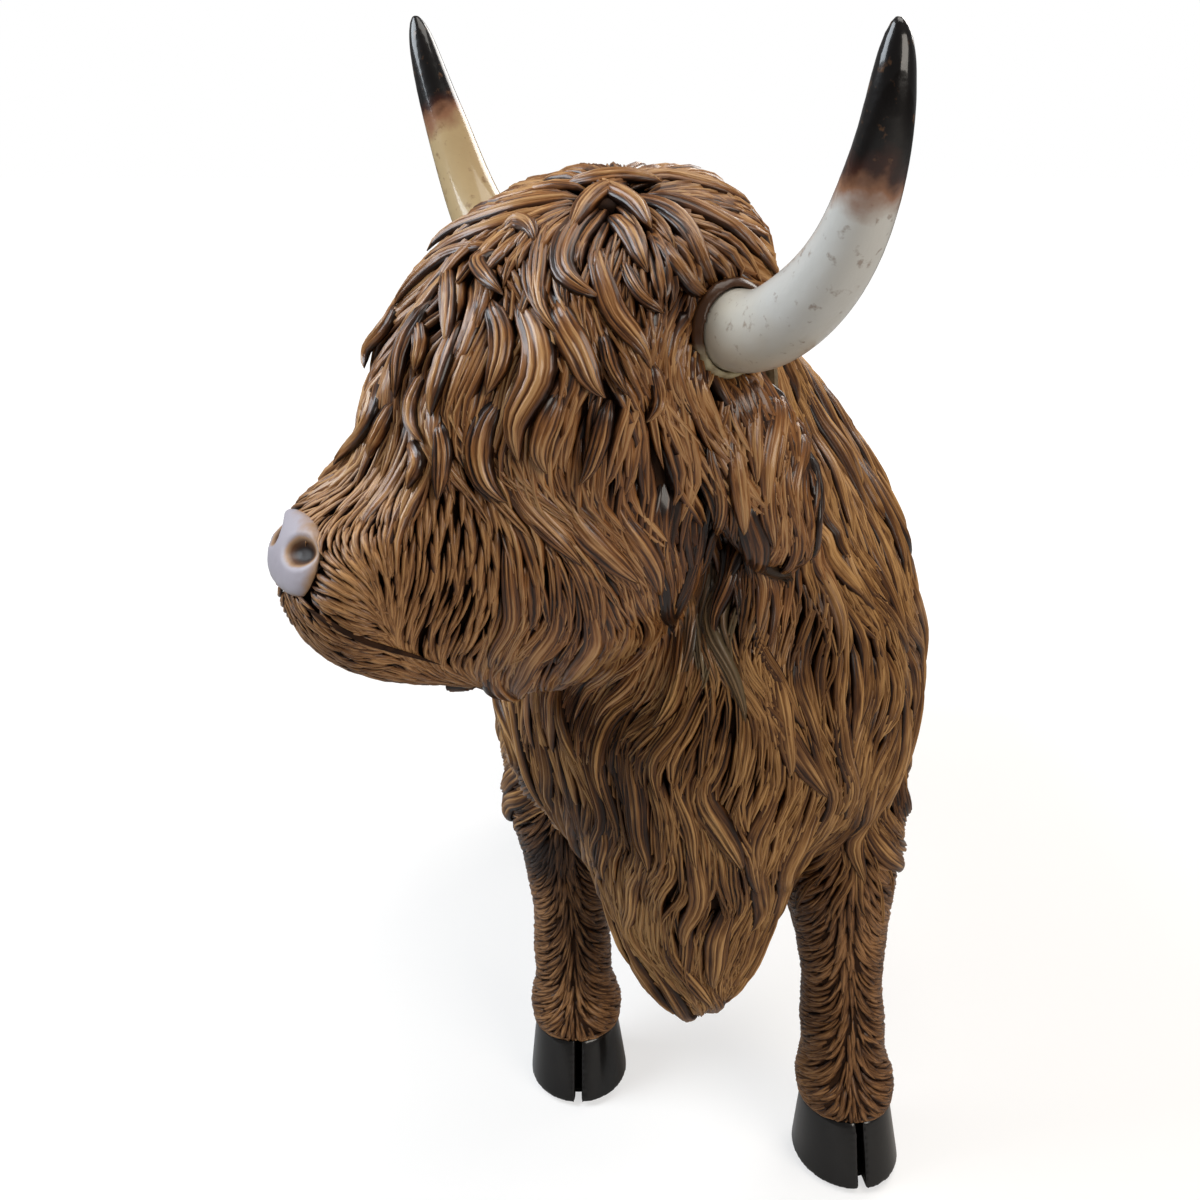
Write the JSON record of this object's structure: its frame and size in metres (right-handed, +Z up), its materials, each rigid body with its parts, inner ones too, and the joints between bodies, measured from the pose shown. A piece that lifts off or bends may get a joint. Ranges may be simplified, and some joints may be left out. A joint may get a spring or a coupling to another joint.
{
  "type": "animal figurine",
  "caption": "standing long-haired horned cow figurine in cast resin, head turned to its right, on cloven hooves",
  "frame": {"origin": "point of the ground plane below the centre of the overall box; the spine lies 19 mm to the left of it (+X) because the head and muzzle reach out to the right", "axes": "+Z up, the body faces -Y, the animal's own left side is +X, the head is turned 55 degrees from -Y towards -X"},
  "size_m": [0.1754, 0.3908, 0.3287],
  "materials": {
    "coat": "cast resin painted dark brown, dry brushed golden brown and lacquered",
    "horn": "cast resin painted ivory with glossy black tips",
    "glue": "dried yellowish adhesive",
    "putty": "matt grey-green filler",
    "plug": "matt dark rubber",
    "steel": "plain drawn steel rod",
    "felt": "dark felt"
  },
  "bodies": {
    "root": {"body_casting": "coat", "head_casting": "coat", "ear_left": "coat", "ear_right": "coat", "tail": "coat", "leg_front_left": "coat", "leg_front_right": "coat", "leg_hind_left": "coat", "leg_hind_right": "coat", "horn_left": "horn", "horn_right": "horn", "horn_glue_left": "glue", "horn_glue_right": "glue", "neck_seam_putty": "putty", "belly_plug": "plug", "horn_pin_left": "steel", "horn_pin_right": "steel", "neck_pin_upper": "steel", "neck_pin_lower": "steel", "tail_pin": "steel", "leg_rod_front_left": "steel", "leg_rod_front_right": "steel", "leg_rod_hind_left": "steel", "leg_rod_hind_right": "steel", "felt_pad_front_left": "felt", "felt_pad_front_right": "felt", "felt_pad_hind_left": "felt", "felt_pad_hind_right": "felt"}
  },
  "joints": []
}
